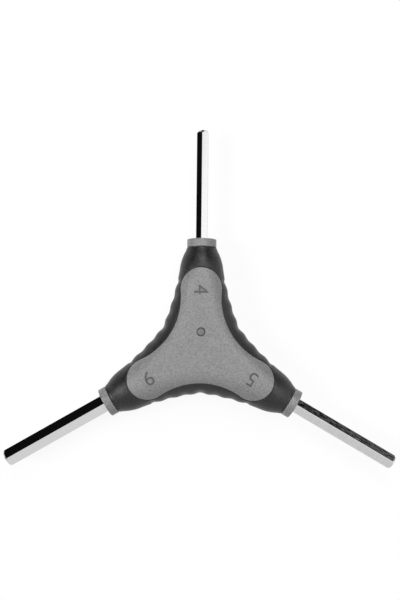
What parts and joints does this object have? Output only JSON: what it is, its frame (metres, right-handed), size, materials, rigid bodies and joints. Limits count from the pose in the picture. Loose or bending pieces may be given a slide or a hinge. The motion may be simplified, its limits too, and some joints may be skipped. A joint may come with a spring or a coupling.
{
  "type": "y wrench",
  "caption": "Y-shaped hexagon key wrench: three straight hexagon keys of different sizes at 120 degrees in one two-tone moulded handle.",
  "frame": {"origin": "middle of the flat back face of the handle, on which the wrench rests", "axes": "+Z out of the front face, +Y along the 4 mm key, +X towards the 5 mm key's side"},
  "size_m": [0.1392, 0.1193, 0.016],
  "materials": {
    "panel_plastic": "fine spark-eroded grain, mid grey",
    "grip_rubber": "soft matt black with moulded ridges",
    "key_steel": "bright plated, with ground flats"
  },
  "bodies": {
    "root": {"handle_core": "panel_plastic", "rubber_grip": "grip_rubber", "hex_key_4mm": "key_steel", "hex_key_5mm": "key_steel", "hex_key_6mm": "key_steel"}
  },
  "joints": []
}
